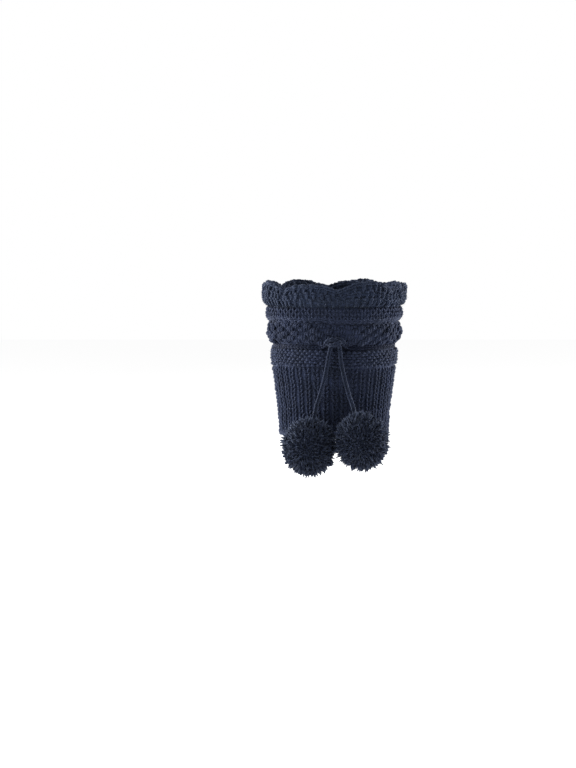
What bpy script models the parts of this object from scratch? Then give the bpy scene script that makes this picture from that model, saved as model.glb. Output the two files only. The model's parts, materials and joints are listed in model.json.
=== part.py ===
"""Pair of knitted boot cuffs with a drawcord and two pompoms on each.

Metres, +Z up.  Each cuff is the open knitted tube as it is worn round a lower
leg: the shin points along -X, the calf along +X.  The origin is on the left
cuff's axis at the height of its drawcord.  The right cuff is its mirror image
on the other leg, so both pairs of pompoms hang on the outer sides.
"""
import math

import bpy
from mathutils import Vector

MM = 0.001
SEAM_GAP = 0.3 * MM

# ---- leg section: an egg, broad at the calf and narrower at the shin ----
DEPTH_RATIO = 0.94          # across the leg, over shin to calf
EGG = 0.09                  # how much broader the calf half is
SEGMENTS = 48               # facets round the leg

# ---- the pair ----
LEG_SPACING = 150 * MM
RIGHT_DROP = 4 * MM         # the right cuff sits this much lower
SIDES = ("left", "right")

# ---- knitted tube: bands with grooves between, then the plain lower rib ----
KNIT_WALL = 3 * MM
KNIT_ROWS = (
    # place              height mm   half-width mm
    ("seam_with_edging",    33.3,       57.0),
    ("band_1_top",          31.2,       58.3),
    ("band_1_middle",       26.5,       58.6),
    ("band_1_foot",         22.4,       57.0),
    ("groove_2",            20.0,       54.6),
    ("band_2_top",          17.2,       56.2),
    ("band_2_middle",       10.6,       57.2),
    ("band_2_foot",          4.4,       55.0),
    ("cord_groove_top",      2.9,       52.0),
    ("cord_groove_upper",    1.3,       48.7),
    ("cord_groove_lower",   -1.3,       48.7),
    ("cord_groove_foot",    -2.7,       52.0),
    ("band_3_top",          -4.2,       53.8),
    ("band_3_foot",        -13.0,       53.6),
    ("rib_top",            -28.0,       51.2),
    ("rib_middle",         -51.0,       48.4),
    ("rib_hem",            -75.0,       46.6),
)

# ---- crocheted edging: a ruffle of eight fans ----
EDGING_WALL = 2.6 * MM
EDGING_ROWS = (
    # place              height mm   half-width mm
    ("seam_with_knit",      33.6,       57.0),
    ("fan_foot",            36.6,       60.2),
    ("fan_middle",          41.0,       61.6),
    ("fan_shoulder",        45.0,       61.2),
    ("fan_edge",            50.0,       60.8),
)
FANS = (
    # middle deg   tip height mm   tip lift mm
    (29,             53.0,           1.0),
    (75,             52.4,           0.6),
    (120,            54.0,           1.2),
    (163,            52.2,           0.7),
    (204,            53.9,           1.1),
    (246,            52.0,           0.5),
    (300,            54.8,           1.6),
    (343,            52.6,           0.9),
)
FAN_VALLEY_HEIGHT = 46.4 * MM
FAN_VALLEY_TUCK = 0.9 * MM
FAN_ROUNDNESS = 0.75        # below 1 gives a blunt fan and a sharp valley

# ---- drawcord, its knot and its two hanging ends ----
CORD_DIAMETER = 3.6 * MM
CORD_ROUND = 51.1 * MM      # half-width of the cord's own middle line in its groove
CORD_POINTS = 48
CORD_RISE_SPAN = math.radians(12)   # stretch beside the knot where the cord climbs to it
CORD_RISE = 4.7 * MM
CORD_CLIMB_OUT = 9.2 * MM
CORD_TO_KNOT = 1.5 * MM     # the cord meets the knot's round side at a slant
KNOT_SIZE = (12.0 * MM, 6.4 * MM, 7.6 * MM)
KNOT_CENTRE = (0.0, -56.6 * MM, 4.9 * MM)
KNOT_SEGMENTS = 16
KNOT_RINGS = 10
END_SPACING = 9 * MM        # distance between the points of a hanging end's tube
END_ROUTES = {
    # middle line of each hanging end, mm, from under the knot to just above its pompom
    "front": ((-3.6, -57.0, 1.0), (-4.2, -55.8, -2.3), (-5.5, -55.5, -8.2), (-6.8, -55.8, -15.6),
              (-9.4, -56.8, -28.1), (-12.0, -58.0, -37.1), (-14.7, -59.6, -45.4),
              (-16.4, -61.0, -51.9)),
    "back": ((3.6, -57.0, 1.0), (4.0, -55.9, -2.3), (4.9, -55.8, -10.6), (6.7, -56.8, -20.6),
             (8.9, -58.6, -29.6), (11.2, -61.0, -37.8), (13.3, -63.6, -44.3), (15.0, -66.0, -49.1)),
}
ROUTE_STEPS = 12            # points worked out between two of a route's own

# ---- pompoms ----
POMPOM_SIZE = (44 * MM, 44 * MM, 48 * MM)   # pressed a little flat against each other
POMPOM_CENTRES = {
    "front": (-21.7 * MM, -65.0 * MM, -81.6 * MM),
    "back": (21.8 * MM, -73.0 * MM, -76.3 * MM),
}
POMPOM_SEGMENTS = 20
POMPOM_RINGS = 12

COLOURS = {
    # linear red, green, blue
    "knit": (0.020, 0.025, 0.042),
    "edging": (0.022, 0.027, 0.044),
    "cord": (0.026, 0.033, 0.050),
    "pompom": (0.012, 0.014, 0.024),
}
WOOL_ROUGHNESS = 0.95


def clear_scene():
    for item in list(bpy.data.objects):
        bpy.data.objects.remove(item, do_unlink=True)


def make_collection(name):
    collection = bpy.data.collections.new(name)
    bpy.context.scene.collection.children.link(collection)
    return collection


def make_material(name, colour):
    material = bpy.data.materials.new(name)
    material.use_nodes = True
    surface = material.node_tree.nodes["Principled BSDF"]
    surface.inputs["Base Color"].default_value = (*colour, 1.0)
    surface.inputs["Roughness"].default_value = WOOL_ROUGHNESS
    surface.inputs["Metallic"].default_value = 0.0
    return material


def leg_point(angle, half_width, height):
    """Point on the egg-shaped section of a given shin-to-calf half-width."""
    across = half_width * DEPTH_RATIO * math.sin(angle) * (1 + EGG * math.cos(angle))
    return Vector((half_width * math.cos(angle), across, height))


def on_side(point, side):
    """Left-cuff coordinates taken to the cuff of either leg."""
    if side == "left":
        return Vector(point)
    return Vector((point[0], LEG_SPACING - point[1], point[2] - RIGHT_DROP))


def add_object(name, data, collection, material):
    data.materials.clear()
    data.materials.append(material)
    item = bpy.data.objects.new(name, data)
    collection.objects.link(item)
    return item


def turned_surface(name, rows):
    """Open round surface through the rows of (place, height, half-width), facing out."""
    points = [(width * MM, 0.0, height * MM) for _, height, width in rows]
    edges = [(index, index + 1) for index in range(len(points) - 1)]
    profile = bpy.data.meshes.new(name + "_profile")
    profile.from_pydata(points, edges, [])
    turned = bpy.data.objects.new(name + "_profile", profile)
    bpy.context.scene.collection.objects.link(turned)
    screw = turned.modifiers.new("Turn", "SCREW")
    screw.axis = "Z"
    screw.angle = math.tau
    screw.steps = SEGMENTS
    screw.render_steps = SEGMENTS
    screw.use_merge_vertices = True
    screw.merge_threshold = 0.00001
    surface = bpy.data.meshes.new_from_object(
        turned.evaluated_get(bpy.context.evaluated_depsgraph_get()))
    bpy.data.objects.remove(turned)
    return surface


def reshape(mesh, side, move):
    """Send each point of a turned surface through move(angle, half_width, height)."""
    for vertex in mesh.vertices:
        x, y, height = vertex.co
        vertex.co = on_side(move(math.atan2(y, x) % math.tau, math.hypot(x, y), height), side)
    if side == "right":
        mesh.flip_normals()


def add_wall(item, thickness):
    """Give a surface its cloth thickness, on its inner side."""
    wall = item.modifiers.new("Wall", "SOLIDIFY")
    wall.thickness = thickness
    wall.offset = -1.0
    wall.use_even_offset = True
    item.data.shade_smooth()


def fan_at(angle):
    """Nearest fan's row and how far the angle is from its middle, 0 there and 1 at a valley."""
    count = len(FANS)
    for index, (middle, tip, lift) in enumerate(FANS):
        before = (math.radians(middle - FANS[index - 1][0]) % math.tau) / 2
        after = (math.radians(FANS[(index + 1) % count][0] - middle) % math.tau) / 2
        offset = (angle - math.radians(middle) + math.pi) % math.tau - math.pi
        if -before <= offset <= after:
            reach = after if offset > 0 else before
            return tip * MM, lift * MM, abs(offset) / reach
    return FANS[0][1] * MM, 0.0, 1.0


def edging_point(angle, half_width, height):
    """Stretch the edging's rows to the fans' outline, and lean the tips out."""
    foot = EDGING_ROWS[0][1] * MM
    edge = EDGING_ROWS[-1][1] * MM
    share = (height - foot) / (edge - foot)
    tip, lift, offset = fan_at(angle)
    crown = math.cos(offset * math.pi / 2) ** FAN_ROUNDNESS
    top = FAN_VALLEY_HEIGHT + (tip - FAN_VALLEY_HEIGHT) * crown
    lean = (lift + FAN_VALLEY_TUCK) * crown - FAN_VALLEY_TUCK
    return leg_point(angle, half_width + lean * share, foot + (top - foot) * share)


def make_knit_tube(side, collection, material):
    surface = turned_surface(side + "_knit", KNIT_ROWS)
    reshape(surface, side, leg_point)
    item = add_object(side + "_knit_tube", surface, collection, material)
    add_wall(item, KNIT_WALL)


def make_edging(side, collection, material):
    # the rows are listed foot to edge, and a turned profile runs top to bottom
    surface = turned_surface(side + "_edging", EDGING_ROWS[::-1])
    reshape(surface, side, edging_point)
    item = add_object(side + "_fan_edging", surface, collection, material)
    add_wall(item, EDGING_WALL)


def add_cord(name, points, collection, material):
    """Plain tube along the points, with closed ends."""
    curve = bpy.data.curves.new(name, "CURVE")
    curve.dimensions = "3D"
    curve.bevel_depth = CORD_DIAMETER / 2
    curve.bevel_resolution = 2
    curve.use_fill_caps = True
    spline = curve.splines.new("POLY")
    spline.points.add(len(points) - 1)
    for target, point in zip(spline.points, points):
        target.co = (*point, 1.0)
    add_object(name, curve, collection, material)


def make_drawcord(side, collection, material):
    """The cord in its groove, from one side of the knot round the leg to the other."""
    knot_angle = math.radians(270)
    half_gap = math.asin((KNOT_SIZE[0] / 2 + CORD_TO_KNOT) / (CORD_ROUND + CORD_CLIMB_OUT))
    points = []
    for index in range(CORD_POINTS + 1):
        turn = half_gap + (math.tau - 2 * half_gap) * index / CORD_POINTS
        from_knot = min(turn, math.tau - turn) - half_gap
        climb = max(0.0, 1 - from_knot / CORD_RISE_SPAN) ** 2
        points.append(on_side(leg_point(knot_angle + turn, CORD_ROUND + CORD_CLIMB_OUT * climb,
                                        CORD_RISE * climb), side))
    add_cord(side + "_drawcord", points, collection, material)


def smooth_route(route, spacing):
    """Points at an even spacing on the smooth curve through the route's own points."""
    fine = []
    padded = [2 * route[0] - route[1], *route, 2 * route[-1] - route[-2]]
    for index in range(1, len(padded) - 2):
        p0, p1, p2, p3 = padded[index - 1:index + 3]
        for step in range(ROUTE_STEPS):
            t = step / ROUTE_STEPS
            fine.append(0.5 * (2 * p1 + (p2 - p0) * t + (2 * p0 - 5 * p1 + 4 * p2 - p3) * t ** 2
                               + (3 * p1 - p0 - 3 * p2 + p3) * t ** 3))
    fine.append(route[-1])
    lengths = [0.0]
    for start, end in zip(fine, fine[1:]):
        lengths.append(lengths[-1] + (end - start).length)
    count = max(2, round(lengths[-1] / spacing))
    points = []
    for number in range(count + 1):
        wanted = lengths[-1] * number / count
        index = min(sum(length < wanted for length in lengths[1:]), len(fine) - 2)
        share = (wanted - lengths[index]) / (lengths[index + 1] - lengths[index])
        points.append(fine[index].lerp(fine[index + 1], share))
    return points


def pompom_reach(direction):
    """Distance from a pompom's centre to its surface along a unit direction."""
    return 1 / math.sqrt(sum((part / (size / 2)) ** 2 for part, size in zip(direction, POMPOM_SIZE)))


def make_hanging_end(side, end, collection, material):
    route = [Vector(point) * MM for point in END_ROUTES[end]]
    centre = Vector(POMPOM_CENTRES[end])
    towards_cord = (route[-1] - centre).normalized()
    route.append(centre + towards_cord * (pompom_reach(towards_cord) + SEAM_GAP))
    points = [on_side(point, side) for point in smooth_route(route, END_SPACING)]
    add_cord(f"{side}_{end}_cord_end", points, collection, material)


def ball_mesh(segments, rings, size, centre, side):
    """A round body of the given size, placed on its side of the pair."""
    bpy.ops.mesh.primitive_uv_sphere_add(segments=segments, ring_count=rings, radius=0.5)
    ball = bpy.context.object
    mesh = ball.data
    for vertex in mesh.vertices:
        vertex.co = on_side([value * width + middle
                             for value, width, middle in zip(vertex.co, size, centre)], side)
    if side == "right":
        mesh.flip_normals()
    mesh.shade_smooth()
    bpy.data.objects.remove(ball)
    return mesh


def make_knot(side, collection, material):
    """Plain rounded solid of the half knot's reach."""
    mesh = ball_mesh(KNOT_SEGMENTS, KNOT_RINGS, KNOT_SIZE, KNOT_CENTRE, side)
    add_object(side + "_knot", mesh, collection, material)


def make_pompom(side, end, collection, material):
    mesh = ball_mesh(POMPOM_SEGMENTS, POMPOM_RINGS, POMPOM_SIZE, POMPOM_CENTRES[end], side)
    add_object(f"{side}_{end}_pompom", mesh, collection, material)


def main():
    clear_scene()
    collection = make_collection("knitted_boot_cuffs")
    materials = {name: make_material("wool_" + name, colour) for name, colour in COLOURS.items()}
    for side in SIDES:
        make_knit_tube(side, collection, materials["knit"])
        make_edging(side, collection, materials["edging"])
        make_drawcord(side, collection, materials["cord"])
        make_knot(side, collection, materials["cord"])
        for end in END_ROUTES:
            make_hanging_end(side, end, collection, materials["cord"])
            make_pompom(side, end, collection, materials["pompom"])


main()
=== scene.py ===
"""Looks of a pair of knitted boot cuffs: yarn stitches, crocheted fans, cords and pompoms.

Every piece is made for the left cuff, in metres, round the frame's origin on
that cuff's axis.  Its mirror image is then the same piece of the right cuff.
A band of stitches is modelled flat, with x along the row, y up the cuff and z
out of the cloth, and is then wrapped round the leg.
"""
import json
import math

import bpy
import numpy as np
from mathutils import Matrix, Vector


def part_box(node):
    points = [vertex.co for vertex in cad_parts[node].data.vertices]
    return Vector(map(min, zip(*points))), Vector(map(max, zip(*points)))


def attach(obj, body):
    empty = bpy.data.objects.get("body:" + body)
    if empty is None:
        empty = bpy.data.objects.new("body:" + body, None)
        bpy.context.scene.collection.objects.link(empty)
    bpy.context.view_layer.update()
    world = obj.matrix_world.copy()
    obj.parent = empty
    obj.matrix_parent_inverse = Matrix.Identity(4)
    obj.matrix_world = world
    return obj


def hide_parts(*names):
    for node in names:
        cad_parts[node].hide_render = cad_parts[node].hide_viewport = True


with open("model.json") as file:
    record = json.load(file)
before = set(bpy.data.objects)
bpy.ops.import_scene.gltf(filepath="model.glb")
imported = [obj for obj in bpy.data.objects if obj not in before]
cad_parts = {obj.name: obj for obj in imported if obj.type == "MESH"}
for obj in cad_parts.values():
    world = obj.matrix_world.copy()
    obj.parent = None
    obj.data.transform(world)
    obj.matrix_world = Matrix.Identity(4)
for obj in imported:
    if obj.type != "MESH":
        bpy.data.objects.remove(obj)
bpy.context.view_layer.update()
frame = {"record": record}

MM = 0.001
RANDOM = np.random.default_rng(11)

# ---- the pair ----
RIGHT_LEG = next(m for m in frame["record"]["mounts"] if m["name"] == "right_leg")["pos_m"]

# ---- leg section, as the tube is built: an egg, broad at the calf ----
DEPTH_RATIO = 0.94                  # across the leg, over shin to calf
EGG = 0.09                          # how much broader the calf half is
SEAM_ANGLE = math.radians(90)       # rows begin and end on the inner side of the leg
OUTER_ANGLE = math.radians(270)     # the knot is on the outer side
RING_POINTS = 720                   # points of a line that goes all round the cuff

# ---- knitted tube ----
KNIT_ROWS = (
    # height mm, half-width mm
    (33.3, 57.0), (31.2, 58.3), (26.5, 58.6), (22.4, 57.0), (20.0, 54.2), (17.4, 56.0),
    (10.6, 57.2), (4.4, 55.2), (2.9, 53.2), (1.3, 51.4), (-1.3, 51.4), (-2.7, 52.8),
    (-4.2, 53.9), (-13.0, 53.6), (-28.0, 51.2), (-51.0, 48.4), (-75.0, 46.6),
)
KNIT_TOP = 33 * MM
KNIT_HEM = -75 * MM
FOLDS = (
    # angle deg, height mm, half-angle deg, half-height mm, out mm; below 0 is a trough
    (262, 12, 5, 8, -0.9), (278, 11, 4, 7, -0.8), (251, 14, 4, 6, 0.5), (290, 13, 5, 7, 0.6),
    (265, -9, 4, 7, -0.7), (281, -10, 5, 8, -0.6), (308, 10, 6, 8, -0.5), (226, 9, 7, 7, -0.6),
    (325, 13, 8, 6, 0.6), (204, 12, 6, 8, 0.5), (186, 8, 5, 6, -0.6), (346, 9, 6, 8, -0.5),
    (14, 12, 7, 7, 0.6), (38, 10, 5, 8, -0.6), (62, 13, 8, 6, 0.5), (88, 9, 6, 8, -0.7),
    (113, 12, 5, 7, 0.5), (139, 10, 7, 8, -0.5), (163, 12, 6, 6, 0.5),
    (216, 27, 10, 5, 0.5), (246, 26, 7, 4, -0.4), (287, 27, 12, 4, 0.4), (318, 28, 8, 5, -0.5),
    (352, 27, 11, 4, 0.4), (40, 27, 9, 5, -0.5), (84, 26, 12, 5, 0.4), (131, 27, 9, 4, -0.4),
    (236, -34, 14, 5, -0.9), (293, -46, 16, 5, -0.8), (330, -30, 12, 6, 0.6), (205, -52, 13, 6, -0.8),
    (350, -58, 15, 5, -0.9), (25, -38, 14, 6, -0.8), (70, -55, 16, 5, -0.7), (110, -33, 13, 6, -0.9),
    (158, -47, 15, 5, -0.7), (265, -62, 12, 5, 0.6),
)

# ---- crocheted edging ----
EDGING_ROWS = (
    # height mm, half-width mm
    (33.6, 57.0), (36.6, 60.2), (41.0, 61.6), (45.0, 61.2), (50.0, 60.8),
)
FANS = (
    # middle deg, tip height mm, tip lift mm
    (29, 53.0, 1.0), (75, 52.4, 0.6), (120, 54.0, 1.2), (163, 52.2, 0.7),
    (204, 53.9, 1.1), (246, 52.0, 0.5), (300, 54.8, 1.6), (343, 52.6, 0.9),
)
FAN_VALLEY_HEIGHT = 46.4 * MM
FAN_VALLEY_TUCK = 0.9 * MM
FAN_ROUNDNESS = 0.75                # below 1 gives a blunt fan and a sharp valley

# ---- cords and pompoms ----
CORD_ROUND = 50.2 * MM              # half-width of the ring's middle line, sunk in its groove
CORD_RISE_SPAN = math.radians(10)   # stretch beside the knot where the cord climbs to it
CORD_RISE = 4.7 * MM
CORD_CLIMB_OUT = 9.2 * MM
KNOT_HALF_WIDTH = 6 * MM
KNOT_ROUTES = (
    # mm; the first two come out of the groove, wrap over or under each other and turn down
    ((-8.2, -55.6, 3.4), (-6.0, -57.6, 6.2), (-2.6, -59.4, 7.4), (1.6, -59.0, 5.8), (2.0, -56.4, 3.2),
     (-1.4, -55.6, 2.6), (-3.6, -57.0, 1.0)),
    ((8.2, -55.6, 3.4), (6.2, -57.2, 6.0), (3.4, -56.8, 7.4), (-1.0, -55.8, 6.4), (-1.6, -58.6, 3.4),
     (2.2, -59.2, 2.8), (3.6, -57.0, 1.0)),
    # and the turn that lies across both
    ((-5.4, -55.2, 4.2), (-4.6, -58.2, 3.0), (-1.6, -60.3, 3.0), (1.8, -60.4, 4.4), (4.6, -58.4, 5.4),
     (5.2, -55.4, 5.0)),
)
END_ROUTES = {
    # mm, from the knot down to just above the pompom
    "front": ((-3.6, -57.0, 1.0), (-4.2, -55.8, -2.3), (-5.5, -55.5, -8.2), (-6.8, -55.8, -15.6),
              (-9.4, -56.8, -28.1), (-12.0, -58.0, -37.1), (-14.7, -59.6, -45.4),
              (-16.4, -61.0, -51.9)),
    "back": ((3.6, -57.0, 1.0), (4.0, -55.9, -2.3), (4.9, -55.8, -10.6), (6.7, -56.8, -20.6),
             (8.9, -58.6, -29.6), (11.2, -61.0, -37.8), (13.3, -63.6, -44.3), (15.0, -66.0, -49.1)),
}
INTO_POMPOM = 0.33                  # how far the cord goes on from there towards the pompom's middle
POMPOM_SEEDS = {"front": 3, "back": 8}

# ---- the part of the model that each piece of a cuff takes the place of ----
STANDS_FOR = {"knit_cloth": "knit_tube", "edging_cloth": "fan_edging", "cord_round": "drawcord",
              "tie": "knot"}


# ---------------------------------------------------------------- materials

FIBRE_SIZE = 0.5 * MM               # drawn a little coarse, so that it shows
FIBRE_HEIGHT = 0.25 * MM
DYE_PATCH = 14 * MM                 # the dye is uneven at this size
BAND_PERIOD = 0.2 * math.pi         # a wave texture's bands repeat at this distance


def linear(hex_colour):
    """sRGB hex to linear red, green, blue and alpha."""
    channels = [int(hex_colour[i:i + 2], 16) / 255 for i in (1, 3, 5)]
    return (*[c / 12.92 if c <= 0.04045 else ((c + 0.055) / 1.055) ** 2.4 for c in channels], 1.0)


def add_node(material, kind, settings=(), **inputs):
    """One node with its settings; an input is a value or another node's output socket."""
    node = material.node_tree.nodes.new(kind)
    for name, value in dict(settings).items():
        setattr(node, name, value)
    for name, value in inputs.items():
        socket = node.inputs[int(name[1:])] if name[1:].isdigit() else node.inputs[name.replace("_", " ")]
        if isinstance(value, bpy.types.NodeSocket):
            material.node_tree.links.new(value, socket)
        else:
            socket.default_value = value
    return node


def wool(name, deep, light, sheen, plies=3, turns=5.0, painted_tip_light=False):
    """Spun wool yarn, dyed navy: matt, with a twist along the strand and a fuzzy bloom of fibre ends.

    The yarn's own map gives the twist, which slants round each strand. Fine noise
    is the fibre and broad noise the uneven dye. On cut yarn the "tip" attribute
    lightens the colour outward: painted shade deep in the pile, a painted rim light at its tips.
    """
    material = bpy.data.materials.new(name)
    material.use_nodes = True
    surface = material.node_tree.nodes["Principled BSDF"]
    place = add_node(material, "ShaderNodeTexCoord")
    fibre = add_node(material, "ShaderNodeTexNoise", Vector=place.outputs["Object"], Scale=1 / FIBRE_SIZE,
                     Detail=3.0, Roughness=0.6)
    dye = add_node(material, "ShaderNodeTexNoise", Vector=place.outputs["Object"], Scale=1 / DYE_PATCH,
                   Detail=2.0)
    turned = add_node(material, "ShaderNodeMapping", Vector=place.outputs["UV"],
                      Scale=(plies * BAND_PERIOD, turns * BAND_PERIOD, 0.0))
    twist = add_node(material, "ShaderNodeTexWave", {"wave_type": "BANDS", "bands_direction": "DIAGONAL"},
                     Vector=turned.outputs["Vector"], Scale=1.0, Distortion=1.2, Detail=1.0)

    def blend(pattern, share, under):
        return add_node(material, "ShaderNodeMath", {"operation": "MULTIPLY_ADD"},
                        i0=pattern.outputs["Fac"], i1=share, i2=under.outputs[0])

    shade = blend(dye, 0.5, blend(twist, 0.35, fibre))
    lightest = 1.25
    # Cut pile: the "tip" attribute rises from the ball's middle to its outside and lightens the colour,
    # painted shade among the roots and a painted rim light at the tips.
    if painted_tip_light:
        tip = add_node(material, "ShaderNodeAttribute", {"attribute_name": "tip"})
        shade = blend(tip, 0.7, shade)
        lightest = 1.9
    ramp = add_node(material, "ShaderNodeMapRange", Value=shade.outputs["Value"],
                    From_Min=0.55, From_Max=lightest)
    colour = add_node(material, "ShaderNodeMix", {"data_type": "RGBA"}, i0=ramp.outputs["Result"],
                      i6=linear(deep), i7=linear(light))
    relief = blend(twist, 0.8, fibre)
    bump = add_node(material, "ShaderNodeBump", Height=relief.outputs["Value"], Strength=0.5,
                    Distance=FIBRE_HEIGHT)
    links = material.node_tree.links
    links.new(colour.outputs[2], surface.inputs["Base Color"])
    links.new(bump.outputs["Normal"], surface.inputs["Normal"])
    surface.inputs["Roughness"].default_value = 0.92
    surface.inputs["Specular IOR Level"].default_value = 0.06
    surface.inputs["Sheen Weight"].default_value = sheen
    surface.inputs["Sheen Roughness"].default_value = 0.45
    surface.inputs["Sheen Tint"].default_value = linear("#A9B4C8")
    return material


# ---------------------------------------------------------------- surfaces

def smooth_table(rows, spread):
    """Heights and half-widths in metres along a profile, its corners eased over the spread in mm."""
    rows, step = sorted(rows), 0.25
    heights = np.arange(rows[0][0], rows[-1][0] + 0.1, step)
    widths = np.interp(heights, [row[0] for row in rows], [row[1] for row in rows])
    reach = int(spread / step)
    padded = np.pad(widths, reach, mode="edge")
    kernel = np.hanning(2 * reach + 3)[1:-1]
    return heights * MM, np.convolve(padded, kernel / kernel.sum(), mode="valid") * MM


KNIT_TABLE = smooth_table(KNIT_ROWS, 1.0)
EDGING_TABLE = smooth_table(EDGING_ROWS, 1.5)


def leg_section(angle, half_width, height):
    across = half_width * DEPTH_RATIO * np.sin(angle) * (1 + EGG * np.cos(angle))
    return np.stack([half_width * np.cos(angle), across, height], axis=1)


def fold_relief(angle, height):
    """How far the soft folds stand out from the cuff's plain form."""
    degrees, relief = np.degrees(angle), np.zeros_like(height)
    for middle, level, half_angle, half_height, out in FOLDS:
        across = ((degrees - middle + 180) % 360 - 180) / half_angle
        relief += out * MM * np.exp(-across ** 2 - ((height - level * MM) / (half_height * MM)) ** 2)
    return relief


def row_wander(angle, height):
    """Rows of worn knitting rise and dip a little round the leg, but not at hem and seam."""
    easing = 12 * MM
    room = np.minimum(KNIT_TOP - height, height - KNIT_HEM).clip(0, easing) / easing
    sway = 0.45 * np.sin(2 * angle + 0.6) + 0.3 * np.sin(3 * angle + 2.1) + 0.22 * np.sin(7 * angle + 1.0)
    return sway * MM * room


def knit_surface(angle, height):
    """Outer surface of the knitted tube."""
    half_width = np.interp(height, *KNIT_TABLE) + fold_relief(angle, height)
    return leg_section(angle, half_width, height + row_wander(angle, height))


def fan_outline(angle):
    """Height of the edge and how far it leans out, all round."""
    degrees = np.degrees(angle) % 360
    tip = np.zeros_like(degrees)
    lift = np.zeros_like(degrees)
    offset = np.ones_like(degrees)
    for index, (middle, height, lean) in enumerate(FANS):
        before = ((middle - FANS[index - 1][0]) % 360) / 2
        after = ((FANS[(index + 1) % len(FANS)][0] - middle) % 360) / 2
        away = (degrees - middle + 180) % 360 - 180
        share = np.where(away > 0, away / after, -away / before)
        inside = share <= 1
        tip[inside], lift[inside], offset[inside] = height * MM, lean * MM, share[inside]
    crown = np.cos(offset * math.pi / 2).clip(0) ** FAN_ROUNDNESS
    top = FAN_VALLEY_HEIGHT + (tip - FAN_VALLEY_HEIGHT) * crown
    return top, (lift + FAN_VALLEY_TUCK) * crown - FAN_VALLEY_TUCK


def edging_surface(angle, share):
    """Outer surface of the edging; share runs from 0 at the seam to 1 at the edge."""
    foot, edge = EDGING_TABLE[0][0], EDGING_TABLE[0][-1]
    top, lean = fan_outline(angle)
    half_width = np.interp(foot + (edge - foot) * share, *EDGING_TABLE) + lean * share
    return leg_section(angle, half_width, foot + (top - foot) * share)


def off_surface(surface, angle, along, out):
    """Points at a distance out from a surface, along its normal."""
    step = 1e-5
    point = surface(angle, along)
    normal = np.cross(surface(angle + step, along) - point, surface(angle, along + step) - point)
    normal /= np.linalg.norm(normal, axis=1)[:, None]
    return point + normal * out[:, None]


def ring_angles():
    return np.linspace(0, math.tau, RING_POINTS) + SEAM_ANGLE


# ---------------------------------------------------------------- modelling

def deselect():
    bpy.ops.object.select_all(action="DESELECT")


def pick(piece):
    deselect()
    piece.select_set(True)
    bpy.context.view_layer.objects.active = piece


def apply_modifier(piece, kind, **settings):
    pick(piece)
    modifier = piece.modifiers.new(kind.title(), kind)
    for name, value in settings.items():
        setattr(modifier, name, value)
    bpy.ops.object.modifier_apply(modifier=modifier.name)
    return piece


def merge_doubles(piece):
    pick(piece)
    bpy.ops.object.mode_set(mode="EDIT")
    bpy.ops.mesh.select_all(action="SELECT")
    bpy.ops.mesh.remove_doubles(threshold=0.01 * MM)
    bpy.ops.mesh.normals_make_consistent(inside=False)
    bpy.ops.object.mode_set(mode="OBJECT")
    return piece


def strand(route, radius, steps=2, sides=1):
    """A length of yarn drawn by five or more given points of x, y, z and swell, in mm."""
    deselect()
    bpy.ops.curve.primitive_nurbs_path_add()
    path = bpy.context.object
    line = path.data.splines[0]
    line.points.add(len(route) - len(line.points))
    for point, (x, y, z, swell) in zip(line.points, route):
        point.co = (x * MM, y * MM, z * MM, 1.0)
        point.radius = swell
    line.order_u = 4
    line.use_endpoint_u = True
    line.resolution_u = steps
    path.data.bevel_depth = radius * MM
    path.data.bevel_resolution = sides
    path.data.use_fill_caps = True
    bpy.ops.object.convert(target="MESH")
    return merge_doubles(bpy.context.object)


LEAN = {"steps": 1}                  # fewer rings along a strand
PLAIN = {"steps": 1, "sides": 0}     # and four-sided, for what is small or turned inward


def join(pieces, name):
    deselect()
    for piece in pieces:
        piece.select_set(True)
    bpy.context.view_layer.objects.active = pieces[0]
    bpy.ops.object.join()
    pieces[0].name = name
    return pieces[0]


def mirrored(piece):
    """The piece and its mirror image in x, as one mesh."""
    return apply_modifier(piece, "MIRROR", use_mirror_merge=False)


def array(piece, count, step):
    return apply_modifier(piece, "ARRAY", count=count, use_relative_offset=False,
                          use_constant_offset=True, constant_offset_displace=step,
                          use_merge_vertices=False)


def points_of(piece):
    flat = np.empty(len(piece.data.vertices) * 3)
    piece.data.vertices.foreach_get("co", flat)
    return flat.reshape(-1, 3)


def set_points(piece, points):
    piece.data.vertices.foreach_set("co", np.ascontiguousarray(points).ravel())
    piece.data.update()


def copy_numbers(piece, copies):
    """Which copy each point of an arrayed piece belongs to."""
    return np.repeat(np.arange(copies), len(piece.data.vertices) // copies)


def unevenness(piece, copies, size):
    """A small random shift for each copied stitch, the same at all its points."""
    shift = RANDOM.normal(size=(copies, 3)).clip(-2, 2) * size
    return shift[copy_numbers(piece, copies)]


def knit_rows(stitch, count, pitch, base, sunk, rows=1, rise=0.0, shift=0.5, surface=knit_surface,
              uneven=0.2 * MM, scale=1.0, inside=False):
    """Rows of one stitch from the base up, each row shifted by a share of a stitch, laid round the cuff.

    The stitches stand on a face that is sunk below the surface. The scale turns
    metres up a row into what the surface counts along itself.
    """
    band = array(array(stitch, count, (pitch, 0, 0)), rows, (shift * pitch, rise, 0))
    x, y, z = (points_of(band) + unevenness(band, count * rows, uneven)).T
    turn = math.tau * x / (count * pitch)
    angle = SEAM_ANGLE - turn if inside else SEAM_ANGLE + turn
    out = -sunk - z if inside else z - sunk
    set_points(band, off_surface(surface, angle, base + y * scale, out))
    return band


def finish(piece, name, material):
    piece.name = name
    piece.data.name = name
    piece.data.materials.clear()
    piece.data.materials.append(material)
    piece.data.shade_smooth()
    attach(piece, "root")
    return piece


def to_right(piece):
    """The mirror image of a left piece on the right leg, with its own mesh."""
    copy = bpy.data.objects.new(piece.name.replace("left", "right"), piece.data.copy())
    bpy.context.collection.objects.link(copy)
    points = points_of(copy)
    points[:, 1] = RIGHT_LEG[1] - points[:, 1]
    points[:, 2] += RIGHT_LEG[2]
    set_points(copy, points)
    copy.data.flip_normals()
    copy.data.name = copy.name
    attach(copy, "root")
    return copy


# ---------------------------------------------------------------- stitches, modelled flat, sizes in mm

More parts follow.
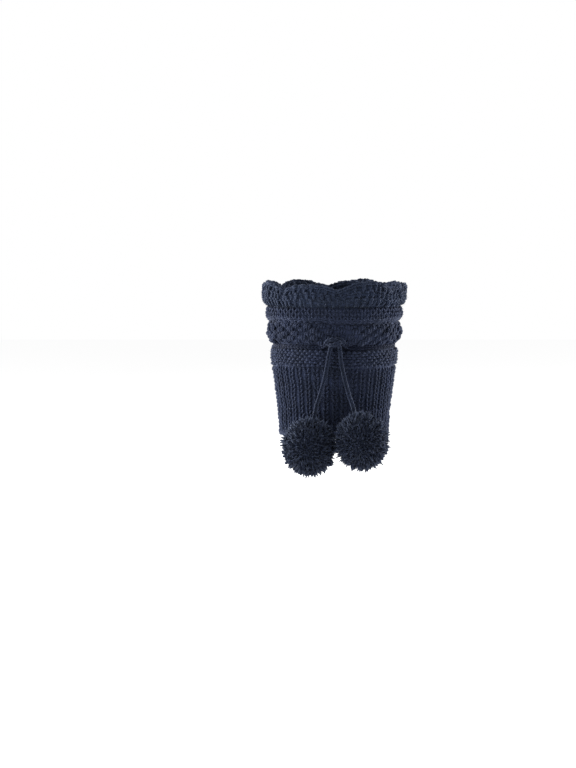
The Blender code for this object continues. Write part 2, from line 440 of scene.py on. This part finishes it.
def v_stitch(width, height, radius, **detail):
    """Two legs of a knit stitch, joined low at the middle and spread at the top."""
    w, h = width / 2, height
    leg = strand(((0.10 * w, -0.22 * h, -0.6, 0.8), (0.22 * w, 0.10 * h, 0.5, 1.0),
                  (0.52 * w, 0.45 * h, 0.9, 1.05), (0.80 * w, 0.80 * h, 0.7, 1.0),
                  (0.86 * w, 1.15 * h, -0.5, 0.8)), radius, **detail)
    return mirrored(leg)


def braid_link(pitch, radius):
    """One link of a braid that runs along a row, its two strands side by side."""
    p = pitch
    upper = strand(((-0.35 * p, 0.1, -0.3, 0.8), (0.05 * p, 0.9, 0.5, 1.0), (0.55 * p, 1.2, 0.6, 1.05),
                    (0.95 * p, 0.7, 0.2, 1.0), (1.25 * p, 0.0, -0.4, 0.8)), radius, **LEAN)
    lower = strand(((-0.35 * p, -0.1, -0.3, 0.8), (0.05 * p, -0.9, 0.5, 1.0), (0.55 * p, -1.2, 0.6, 1.05),
                    (0.95 * p, -0.7, 0.2, 1.0), (1.25 * p, 0.0, -0.4, 0.8)), radius, **LEAN)
    return join([upper, lower], "braid_link")


def purl_bump(width, radius, **detail):
    """One bump of a purl row: a short arc that rises out of the cloth."""
    w = width / 2
    return strand(((-1.05 * w, -0.5, -0.8, 0.8), (-0.6 * w, 0.1, 0.5, 1.0), (0.0, 0.5, 1.1, 1.1),
                   (0.6 * w, 0.1, 0.5, 1.0), (1.05 * w, -0.5, -0.8, 0.8)), radius, **detail)


def puff(width, height, radius):
    """Three plump slanting loops side by side, drawn together at foot and head."""
    loops = []
    for side in (-1.0, 0.0, 1.0):
        w = side * width / 2
        flat = 0.5 * abs(side)
        loops.append(strand(((0.3 * w - 0.3, -0.15 * height, -1.9, 0.75),
                             (0.85 * w - 0.5, 0.10 * height, 1.0 - flat, 1.0),
                             (1.05 * w, 0.50 * height, 2.9 - flat, 1.15),
                             (0.85 * w + 0.6, 0.90 * height, 1.0 - flat, 1.0),
                             (0.3 * w + 0.7, 1.15 * height, -1.9, 0.75)), radius))
    return join(loops, "puff")


def post(width, height, radius):
    """A short crochet stitch: two strands that cross, under a loop that lies over their heads."""
    w, h = width / 2, height
    first = strand(((-0.7 * w, -0.1 * h, -1.0, 0.8), (-0.4 * w, 0.1 * h, 0.8, 1.0),
                    (0.2 * w, 0.35 * h, 1.2, 1.1), (0.8 * w, 0.62 * h, 0.6, 1.1),
                    (0.3 * w, 0.95 * h, -0.9, 0.8)), radius, **LEAN)
    second = strand(((0.8 * w, -0.1 * h, -1.0, 0.8), (0.6 * w, 0.1 * h, 0.3, 1.0),
                     (-0.2 * w, 0.35 * h, 0.0, 1.1), (-0.9 * w, 0.6 * h, 0.5, 1.1),
                     (-0.3 * w, 0.95 * h, -0.9, 0.8)), radius, **LEAN)
    loop = strand(((-1.4 * w, 0.85 * h, -1.1, 0.8), (-0.8 * w, 0.8 * h, 0.8, 1.0),
                   (0.1 * w, 1.05 * h, 1.5, 1.1), (0.8 * w, 0.75 * h, 0.7, 1.0),
                   (1.3 * w, 0.65 * h, -1.1, 0.8)), radius, **LEAN)
    return join([first, second, loop], "post")


def chain_link(width, pitch, radius):
    """One loop of a crochet chain, its foot inside the loop below."""
    w, p = width / 2, pitch
    leg = strand(((0.05 * w, -0.35 * p, -0.3, 0.8), (0.40 * w, 0.05 * p, 0.5, 1.0),
                  (0.78 * w, 0.45 * p, 0.7, 1.1), (0.62 * w, 0.95 * p, 0.3, 1.0),
                  (0.10 * w, 1.30 * p, -0.4, 0.8)), radius, **LEAN)
    return mirrored(leg)


# ---------------------------------------------------------------- cloth

def make_shell(name, surface, low, high, columns, rows, sunk, thickness):
    """The cloth behind the stitches: a grid wrapped into a tube, welded at its seam, then given a wall."""
    deselect()
    bpy.ops.mesh.primitive_grid_add(x_subdivisions=columns, y_subdivisions=rows, size=1.0)
    shell = bpy.context.object
    points = points_of(shell)
    angle = SEAM_ANGLE + (points[:, 0] + 0.5) * math.tau
    along = low + (points[:, 1] + 0.5) * (high - low)
    set_points(shell, off_surface(surface, angle, along, np.full(len(points), -sunk)))
    merge_doubles(shell)
    shell.name = name
    return apply_modifier(shell, "SOLIDIFY", thickness=thickness, offset=-1.0, use_even_offset=True)


def make_upper_band():
    """The top band: V stitches over a braid, and the purl rows of the groove below."""
    band = knit_rows(v_stitch(5.8, 2.9, 0.95, **LEAN), count=60, pitch=5.9 * MM, base=23.6 * MM,
                     sunk=1.7 * MM, rows=3, rise=3.3 * MM, uneven=0.25 * MM)
    braid = knit_rows(braid_link(4.7, 0.85), count=76, pitch=4.7 * MM, base=22.8 * MM, sunk=1.2 * MM)
    groove = knit_rows(purl_bump(5.6, 1.0, **LEAN), count=60, pitch=5.9 * MM, base=18.6 * MM,
                       sunk=1.8 * MM, rows=2, rise=2.1 * MM)
    return join([band, braid, groove], "upper_band")


def make_puff_band():
    """The middle band: plump puffs that lean, each row between those of the row below."""
    return knit_rows(puff(4.8, 4.5, 1.05), count=30, pitch=11.6 * MM, base=1.5 * MM,
                     sunk=2.0 * MM, rows=5, rise=3.5 * MM, uneven=0.45 * MM)


def make_purl_band():
    """The band at the boot's edge: small bumps, each row between those of the row below."""
    return knit_rows(purl_bump(4.0, 1.15), count=72, pitch=4.55 * MM, base=-15.4 * MM,
                     sunk=1.55 * MM, rows=6, rise=2.4 * MM, uneven=0.25 * MM)


def make_rib_stitches():
    """Plain rib below the bands: raised columns of V stitches."""
    return knit_rows(v_stitch(5.6, 3.5, 1.05, **PLAIN), count=40, pitch=7.6 * MM, base=-74.0 * MM,
                     sunk=1.6 * MM, rows=16, rise=3.5 * MM, shift=0.0)


def make_inner_stitches():
    """The wrong side of the knit: rows of purl bumps that face the leg."""
    return knit_rows(purl_bump(6.9, 1.05, **PLAIN), count=46, pitch=7.2 * MM, base=-73.0 * MM,
                     sunk=2.4 * MM, rows=22, rise=5.0 * MM, inside=True)


def make_hem_chain():
    """The cast-off edge of the rib."""
    line = off_surface(knit_surface, ring_angles(), np.full(RING_POINTS, -74.2 * MM),
                       np.full(RING_POINTS, -1.7 * MM))
    return chain_cord("hem", line, away_from_leg, width=3.2, radius=0.85, wanted=4.6, uneven=0.2 * MM)


COPY_STEP = 3.0                     # copies of a unit fibre or tuft are set this far apart at first


def make_fuzz(surface, low, high, count):
    """Loose fibre ends that stand out of the yarn all over a surface."""
    rooted, upright, stray, girth = 0.8 * MM, 0.75, 0.55, 0.075 * MM
    deselect()
    bpy.ops.mesh.primitive_cone_add(vertices=3, radius1=1.0, radius2=0.0, depth=1.0)
    fuzz = array(bpy.context.object, count, (COPY_STEP, 0, 0))
    number = copy_numbers(fuzz, count)
    points = points_of(fuzz)
    points[:, 0] -= number * COPY_STEP
    angle = RANDOM.uniform(0, math.tau, size=count)
    along = RANDOM.uniform(low, high, size=count)
    root = off_surface(surface, angle, along, np.full(count, -rooted))
    outward = off_surface(surface, angle, along, np.zeros(count)) - root
    way = outward / rooted * upright + RANDOM.normal(size=(count, 3)) * stray
    way /= np.linalg.norm(way, axis=1)[:, None]
    side = np.cross(way, RANDOM.normal(size=way.shape))
    side /= np.linalg.norm(side, axis=1)[:, None]
    other = np.cross(way, side)
    length = RANDOM.uniform(1.6, 3.4, size=count) * MM
    set_points(fuzz, root[number] + way[number] * ((points[:, 2] + 0.5) * length[number])[:, None]
               + (side[number] * points[:, :1] + other[number] * points[:, 1:2]) * girth)
    return fuzz


def make_fan_posts():
    """Tiers of posts to each fan, closer together at the foot than at the edge."""
    in_fan, tiers, height, pitch, tier_step = 9, 3, 6.4 * MM, 5.0 * MM, 20 * MM
    first_foot, next_foot, post_rise = 0.03, 0.30, 0.36         # shares of the edging's height
    slant, sunk, middle_radius = 0.12, 1.5 * MM, 58 * MM
    around = in_fan * len(FANS)
    copies = around * tiers
    posts = array(array(post(3.0, height / MM, 0.92), around, (pitch, 0, 0)), tiers, (0, 0, tier_step))
    number = copy_numbers(posts, copies)
    place, tier = number % around, number // around
    turn = RANDOM.normal(size=copies)[number] * slant
    x, y, z = (points_of(posts) + unevenness(posts, copies, 0.35 * MM)).T
    x = x - place * pitch
    x, y = x * np.cos(turn) - y * np.sin(turn), x * np.sin(turn) + y * np.cos(turn)
    z = z - tier * tier_step
    share = first_foot + tier * next_foot + y / height * post_rise
    middles = np.array([fan[0] for fan in FANS])
    before = (middles - np.roll(middles, 1)) % 360 / 2
    after = (np.roll(middles, -1) - middles) % 360 / 2
    fan, place = place // in_fan, (place % in_fan + 0.25 + 0.5 * (tier % 2)) / in_fan * 2 - 1
    reach = np.where(place < 0, before[fan], after[fan])
    angle = np.radians(middles[fan] + place * reach) + x / middle_radius
    set_points(posts, off_surface(edging_surface, angle, share, z - sunk))
    return posts


def make_inner_edging():
    """The back of the crochet, whose height the surface counts as a share of about 17 mm."""
    return knit_rows(purl_bump(5.4, 0.95, **PLAIN), count=60, pitch=5.9 * MM, base=0.04,
                     sunk=2.2 * MM, rows=5, rise=3.6 * MM, surface=edging_surface,
                     scale=1 / (17 * MM), inside=True)


def make_edge_chain():
    """The last round of crochet along the fans, its loops a little loose."""
    angle = ring_angles()
    share = 0.965 + 0.02 * np.sin(61 * angle)
    out = -1.2 * MM + 0.35 * MM * np.sin(43 * angle) * np.sin(5 * angle)
    line = off_surface(edging_surface, angle, share, out)
    return chain_cord("edge", line, away_from_leg, width=3.0, radius=0.74, wanted=4.2, uneven=0.35 * MM)


# ---------------------------------------------------------------- cords

def smooth_route(route):
    """Fine points on the smooth curve through a route's own points, in metres."""
    route = [Vector(point) for point in route]
    padded = [2 * route[0] - route[1], *route, 2 * route[-1] - route[-2]]
    steps, fine = 12, []
    for index in range(1, len(padded) - 2):
        p0, p1, p2, p3 = padded[index - 1:index + 3]
        for step in range(steps):
            t = step / steps
            fine.append(0.5 * (2 * p1 + (p2 - p0) * t + (2 * p0 - 5 * p1 + 4 * p2 - p3) * t ** 2
                               + (3 * p1 - p0 - 3 * p2 + p3) * t ** 3))
    fine.append(route[-1])
    return np.array(fine)


def line_length(line):
    return float(np.linalg.norm(np.diff(line, axis=0), axis=1).sum())


def lay_on_line(piece, line, facing, flip):
    """Lay a flat strip along a line: y runs along it and z points the way it faces."""
    steps = np.linalg.norm(np.diff(line, axis=0), axis=1)
    length = np.concatenate([[0.0], np.cumsum(steps)])
    x, y, z = points_of(piece).T
    y = y.clip(0, length[-1])
    centre = np.stack([np.interp(y, length, line[:, axis]) for axis in range(3)], axis=1)
    tangent = np.gradient(line, axis=0)
    tangent = np.stack([np.interp(y, length, tangent[:, axis]) for axis in range(3)], axis=1)
    tangent /= np.linalg.norm(tangent, axis=1)[:, None]
    out = facing(centre)
    out -= (out * tangent).sum(axis=1)[:, None] * tangent
    out /= np.linalg.norm(out, axis=1)[:, None]
    side = np.cross(tangent, out)
    if flip:
        side, out = -side, -out
    set_points(piece, centre + side * x[:, None] + out * z[:, None])
    return piece


def chain_cord(name, line, facing, width=3.3, radius=0.78, wanted=3.4, uneven=0.08 * MM):
    """A crocheted chain along a line, with its loops showing on both faces, a link to each wanted mm."""
    count = max(2, round(line_length(line) / (wanted * MM)))
    pitch = line_length(line) / count / MM
    face_height = 0.45 * MM
    faces = []
    for flip in (False, True):
        strip = array(chain_link(width, pitch, radius), count, (0, pitch * MM, 0))
        lifted = points_of(strip) + unevenness(strip, count, uneven)
        lifted[:, 2] += face_height
        set_points(strip, lifted)
        faces.append(lay_on_line(strip, line, facing, flip))
    return join(faces, name)


def away_from_leg(points):
    """Out from the cuff's axis, level."""
    out = points.copy()
    out[:, 2] = 0.0
    return out / np.linalg.norm(out, axis=1)[:, None]


def towards_outer_side(points):
    return np.tile([0.0, -1.0, 0.0], (len(points), 1))


def drawcord_line():
    """The cord's middle line in its groove, from one side of the knot to the other."""
    half_gap = math.asin(KNOT_HALF_WIDTH / (CORD_ROUND + CORD_CLIMB_OUT))
    turn = np.linspace(half_gap, math.tau - half_gap, 300)
    from_knot = np.minimum(turn, math.tau - turn) - half_gap
    climb = (1 - from_knot / CORD_RISE_SPAN).clip(0) ** 2
    return leg_section(OUTER_ANGLE + turn, CORD_ROUND + CORD_CLIMB_OUT * climb, CORD_RISE * climb)


def make_tie():
    """The half knot that holds the drawcord."""
    strands = [chain_cord("tie", smooth_route(np.array(route) * MM), towards_outer_side)
               for route in KNOT_ROUTES]
    return join(strands, "tie")


# ---------------------------------------------------------------- pompoms

def spread_ways(count, random):
    """Directions spread evenly over a ball, each a little off its place."""
    order = np.arange(count) + 0.5
    polar = np.arccos(1 - 2 * order / count)
    turn = math.pi * (1 + 5 ** 0.5) * order
    ways = np.stack([np.cos(turn) * np.sin(polar), np.sin(turn) * np.sin(polar), np.cos(polar)], axis=1)
    ways += random.normal(size=ways.shape) * 0.05
    return ways / np.linalg.norm(ways, axis=1)[:, None]


def pile(count, cuts, root, tip, girth, half_size, random):
    """Yarn ends from root to tip, as shares of the ball's half size, cut and thick by tables along each."""
    bend = 0.06
    deselect()
    bpy.ops.mesh.primitive_cylinder_add(vertices=3, radius=1.0, depth=1.0, end_fill_type="TRIFAN")
    tuft = bpy.context.object
    bpy.ops.object.mode_set(mode="EDIT")
    for cut in cuts:
        bpy.ops.mesh.select_all(action="SELECT")
        bpy.ops.mesh.bisect(plane_co=(0, 0, cut - 0.5), plane_no=(0, 0, 1))
    bpy.ops.object.mode_set(mode="OBJECT")
    array(tuft, count, (COPY_STEP, 0, 0))
    number = copy_numbers(tuft, count)
    points = points_of(tuft)
    points[:, 0] -= number * COPY_STEP
    share = points[:, 2] + 0.5
    ways = spread_ways(count, random)
    side = np.cross(ways, random.normal(size=ways.shape))
    side /= np.linalg.norm(side, axis=1)[:, None]
    other = np.cross(ways, side)
    reach = 1 / np.linalg.norm(ways / half_size, axis=1)
    first, last = root * reach, tip * reach * (1 + random.normal(size=count).clip(-2, 2) * 0.014)
    along = first[number] + (last - first)[number] * share
    thick = np.interp(share, *girth) * MM * random.uniform(0.8, 1.2, size=count)[number]
    lean = random.normal(size=ways.shape) * bend * half_size.mean()
    set_points(tuft, ways[number] * along[:, None] + lean[number] * (share ** 2)[:, None]
               + (side[number] * points[:, :1] + other[number] * points[:, 1:2]) * thick[:, None])
    return tuft


def make_pompom(name, node, seed):
    """Cut yarn ends standing out all round a dark heart, clipped to a slightly uneven ball."""
    low, high = (np.array(corner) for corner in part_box(node))
    centre, half_size = (low + high) / 2, (high - low) / 2
    random = np.random.default_rng(seed)
    ends = pile(2150, (0.5, 0.8), 0.66, 0.985, ((0, 0.7, 1), (0.75, 1.05, 0.45)), half_size, random)
    frayed = pile(1500, (), 0.88, 1.015, ((0, 1), (0.24, 0.03)), half_size, random)
    deselect()
    bpy.ops.mesh.primitive_ico_sphere_add(subdivisions=4, radius=1.0)
    heart = bpy.context.object
    set_points(heart, points_of(heart) * half_size * 0.86)
    ball = join([ends, frayed, heart], name)
    points = points_of(ball)
    set_points(ball, points + centre)
    # Painted light: "tip" grows outward from the ball's middle, so the heart and roots take painted shade
    # and the outer ends a painted rim light.
    painted_pile_light = ball.data.attributes.new("tip", "FLOAT", "POINT")
    outward = np.linalg.norm(points / half_size, axis=1)
    painted_pile_light.data.foreach_set("value", np.interp(outward, (0.78, 1.02), (0, 1)))
    return ball


# ---------------------------------------------------------------- stage

def make_camera():
    """Level with the cuff and looking a little down, with the cuff right of and above the middle."""
    distance, view_height, tilt = 2.5, 0.6528, math.radians(3.4)
    aim = Vector((-39.1 * MM, 0.0, -33.1 * MM))
    data = bpy.data.cameras.new("camera")
    data.sensor_width = 36.0
    data.lens = data.sensor_width * distance / view_height
    camera = bpy.data.objects.new("camera", data)
    camera.location = aim + Vector((0.0, -math.cos(tilt), math.sin(tilt))) * distance
    camera.rotation_euler = (math.radians(90) - tilt, 0.0, 0.0)
    bpy.context.collection.objects.link(camera)
    bpy.context.scene.camera = camera


def make_light(name, place, size, power):
    """A soft square light that faces the left cuff."""
    data = bpy.data.lights.new(name, "AREA")
    data.size = size
    data.energy = power
    light = bpy.data.objects.new(name, data)
    light.location = place
    light.rotation_euler = (-Vector(place)).to_track_quat("-Z", "Y").to_euler()
    bpy.context.collection.objects.link(light)


def make_floor():
    """Matt white paint: an even, pale ground with no gloss."""
    deselect()
    bpy.ops.mesh.primitive_plane_add(size=14.0, location=(0.0, 0.0, -305 * MM))
    bpy.ops.object.transform_apply(location=True, rotation=False, scale=False)
    floor = bpy.context.object
    floor.name = "floor"
    paint = bpy.data.materials.new("matt_white_paint")
    paint.use_nodes = True
    surface = paint.node_tree.nodes["Principled BSDF"]
    surface.inputs["Base Color"].default_value = linear("#FBFBFB")
    surface.inputs["Roughness"].default_value = 1.0
    surface.inputs["Specular IOR Level"].default_value = 0.0
    floor.data.materials.append(paint)


def make_stage():
    world = bpy.data.worlds.new("studio")
    bpy.context.scene.world = world
    world.use_nodes = True
    world.node_tree.nodes["Background"].inputs["Color"].default_value = (1.0, 1.0, 1.0, 1.0)
    world.node_tree.nodes["Background"].inputs["Strength"].default_value = 1.0
    make_light("key", (-1.8, -1.5, 1.4), 1.4, 50)
    make_light("left_rim", (-2.0, 0.8, 0.4), 1.2, 230)
    make_light("right_rim", (2.0, 0.9, 0.3), 1.2, 200)
    make_floor()
    bpy.context.scene.view_settings.view_transform = "Standard"


# ---------------------------------------------------------------- the whole

def make_left_cuff(cord_yarn):
    """All of the left cuff but its hanging ends."""
    # Knitted wool: a dull navy, almost black between the stitches and slate blue where it is lit.
    knit = wool("knitted_navy_wool", "#0F121A", "#202638", 0.06)
    # Crocheted wool: the same yarn in open loops, so its shadows are a little less blue.
    crochet = wool("crocheted_navy_wool", "#0E1219", "#202738", 0.06)
    # Chained wool cord of the ring, coloured darker than the other cords as painted shade for the shadow in
    # its groove: the darkest, with the least bloom.
    ring_yarn_painted_shade = wool("unfaded_chain_cord_navy_wool", "#080B13", "#121727", 0.03)
    tube = make_shell("tube", knit_surface, -74.6 * MM, 34.4 * MM, columns=96, rows=64,
                      sunk=1.7 * MM, thickness=1.0 * MM)
    cuff = [
        finish(tube, "left_knit_cloth", knit),
        finish(make_upper_band(), "left_band_1_stitches", knit),
        finish(make_puff_band(), "left_band_2_puffs", knit),
        finish(make_purl_band(), "left_band_3_stitches", knit),
        finish(make_rib_stitches(), "left_rib_stitches", knit),
        finish(make_inner_stitches(), "left_inner_stitches", knit),
        finish(make_hem_chain(), "left_hem_chain", knit),
        finish(make_fuzz(knit_surface, KNIT_HEM, KNIT_TOP, 3600), "left_knit_fuzz", knit),
        finish(make_fuzz(edging_surface, 0.0, 1.0, 1000), "left_edging_fuzz", crochet),
    ]
    ruffle = make_shell("ruffle", edging_surface, -0.12, 0.985, columns=144, rows=12,
                        sunk=1.7 * MM, thickness=0.8 * MM)
    cuff += [
        finish(ruffle, "left_edging_cloth", crochet),
        finish(make_fan_posts(), "left_fan_posts", crochet),
        finish(make_inner_edging(), "left_inner_edging_stitches", crochet),
        finish(make_edge_chain(), "left_edge_chain", crochet),
    ]
    ring = chain_cord("ring", drawcord_line(), away_from_leg)
    cuff += [finish(ring, "left_cord_round", ring_yarn_painted_shade), finish(make_tie(), "left_tie", cord_yarn)]
    return cuff


def make_both_cuffs(cord_yarn):
    for piece in make_left_cuff(cord_yarn):
        for side, item in (("left", piece), ("right", to_right(piece))):
            name = item.name.removeprefix(side + "_")
            if name in STANDS_FOR:
                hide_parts(f"{side}_{STANDS_FOR[name]}")


def make_hanging_ends(end, cord_yarn, cut_pile):
    """One end of the drawcord and the pompom on it, on both cuffs."""
    ball = finish(make_pompom("ball", f"left_{end}_pompom", POMPOM_SEEDS[end]),
                  f"left_{end}_yarn_ball", cut_pile)
    low, high = (Vector(corner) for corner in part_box(f"left_{end}_pompom"))
    points = [Vector(point) * MM for point in END_ROUTES[end]]
    points.append(points[-1].lerp((low + high) / 2, INTO_POMPOM))
    line = smooth_route(points)
    cord = finish(chain_cord("end", line, towards_outer_side), f"left_{end}_hanging_cord", cord_yarn)
    for side in ("left", "right"):
        if side == "right":
            ball, cord = to_right(ball), to_right(cord)
            line = line * (1, -1, 1) + (0, RIGHT_LEG[1], RIGHT_LEG[2])
        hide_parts(f"{side}_{end}_pompom")
        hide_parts(f"{side}_{end}_cord_end")


def main():
    make_camera()
    # Chained wool cord: worked tight, so it is a shade darker than the knit.
    cord_yarn = wool("chain_cord_navy_wool", "#0C0F17", "#1D2333", 0.06)
    # Cut wool pile: darker towards its roots by painted shade, with paler, hazy tips by a painted rim
    # light.
    cut_pile = wool("cut_pile_navy_wool", "#0C1019", "#1A202F", 0.15, turns=1.0, painted_tip_light=True)
    make_both_cuffs(cord_yarn)
    for end in END_ROUTES:
        make_hanging_ends(end, cord_yarn, cut_pile)
    make_stage()


main()
